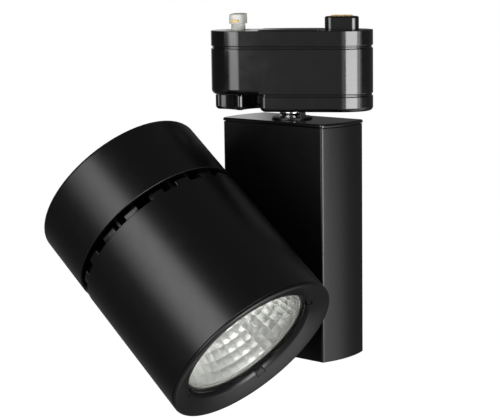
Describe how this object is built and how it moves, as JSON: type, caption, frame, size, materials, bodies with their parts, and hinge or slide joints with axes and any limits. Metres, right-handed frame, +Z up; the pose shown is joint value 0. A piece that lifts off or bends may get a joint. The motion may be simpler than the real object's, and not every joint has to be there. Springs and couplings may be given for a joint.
{
  "type": "track spotlight",
  "caption": "Black track spotlight: a track adapter, a swivelling driver box and a tilting round head with a faceted reflector.",
  "frame": {"origin": "on the swivel axis, in the adapter's top seat where it meets the underside of the track", "axes": "+X along the track, away from the lock knob; +Z up into the track; -Y is the side the head hangs on"},
  "size_m": [0.2007, 0.1911, 0.2445],
  "materials": {
    "gloss_black": "gloss moulded plastic",
    "satin_black": "satin powder coat",
    "aluminium": "machined",
    "anodised": "black anodised",
    "reflector": "bright faceted reflector",
    "steel": "zinc plated",
    "chrome": "polished",
    "brass": "bare contact brass",
    "nylon": "moulded nylon",
    "board": "circuit board",
    "tape": "insulating tape",
    "sleeve": "shrink sleeve",
    "copper": "enamelled copper",
    "phosphor": "phosphor",
    "glass": "clear glass",
    "seal": "silicone"
  },
  "bodies": {
    "adapter": {"adapter_cap": "gloss_black", "adapter_body": "gloss_black", "adapter_cover": "gloss_black", "cover_screws": "steel", "track_guide": "gloss_black", "ground_contact": "brass", "terminal_block": "nylon", "swivel_bush": "brass", "stop_pin": "steel"},
    "lock": {"lock_knob": "gloss_black", "lock_shaft": "steel", "contact_rotor": "nylon", "contact_blades": "brass"},
    "arm": {"swivel_stem": "steel", "stem_collar": "steel", "thrust_washer": "nylon", "stem_nut": "chrome", "stop_washer": "gloss_black", "arm_lid": "satin_black", "arm_bridge": "steel", "bridge_screws": "steel", "stem_locknut": "steel", "arm_housing": "satin_black", "driver_board": "board", "driver_transformer": "tape", "driver_capacitors": "sleeve", "driver_choke": "copper", "driver_terminals": "nylon", "tilt_hub": "satin_black", "hub_screws": "steel", "friction_washer": "nylon"},
    "head": {"head_boss": "satin_black", "boss_screws": "steel", "tilt_bolt": "steel", "spring_washer": "steel", "tilt_nut": "steel", "barrel": "satin_black", "vent_ring": "satin_black", "rear_cap": "satin_black", "cap_screws": "steel", "heat_sink": "anodised", "sink_screws": "steel", "led_board": "aluminium", "led_chip": "phosphor", "led_holder": "nylon", "holder_screws": "steel", "reflector": "reflector", "lens_gasket": "seal", "lens_glass": "glass", "front_ring": "satin_black", "accessory_clips": "gloss_black", "lens_retainer": "satin_black", "retainer_screws": "steel"}
  },
  "joints": [
    {"name": "swivel", "type": "hinge", "parent": "adapter", "child": "arm", "pos_m": [0, 0, 0], "axis": [0, 0, 1], "range_deg": [-162, 162]},
    {"name": "head_tilt", "type": "hinge", "parent": "arm", "child": "head", "pos_m": [-0.04624, -0.07605, -0.1544], "axis": [-0.5195, -0.8545, 0], "range_deg": [-51, 39]},
    {"name": "lock_turn", "type": "hinge", "parent": "adapter", "child": "lock", "pos_m": [-0.03475, 0, 0], "axis": [0, 0, 1], "range_deg": [0, 90]}
  ]
}
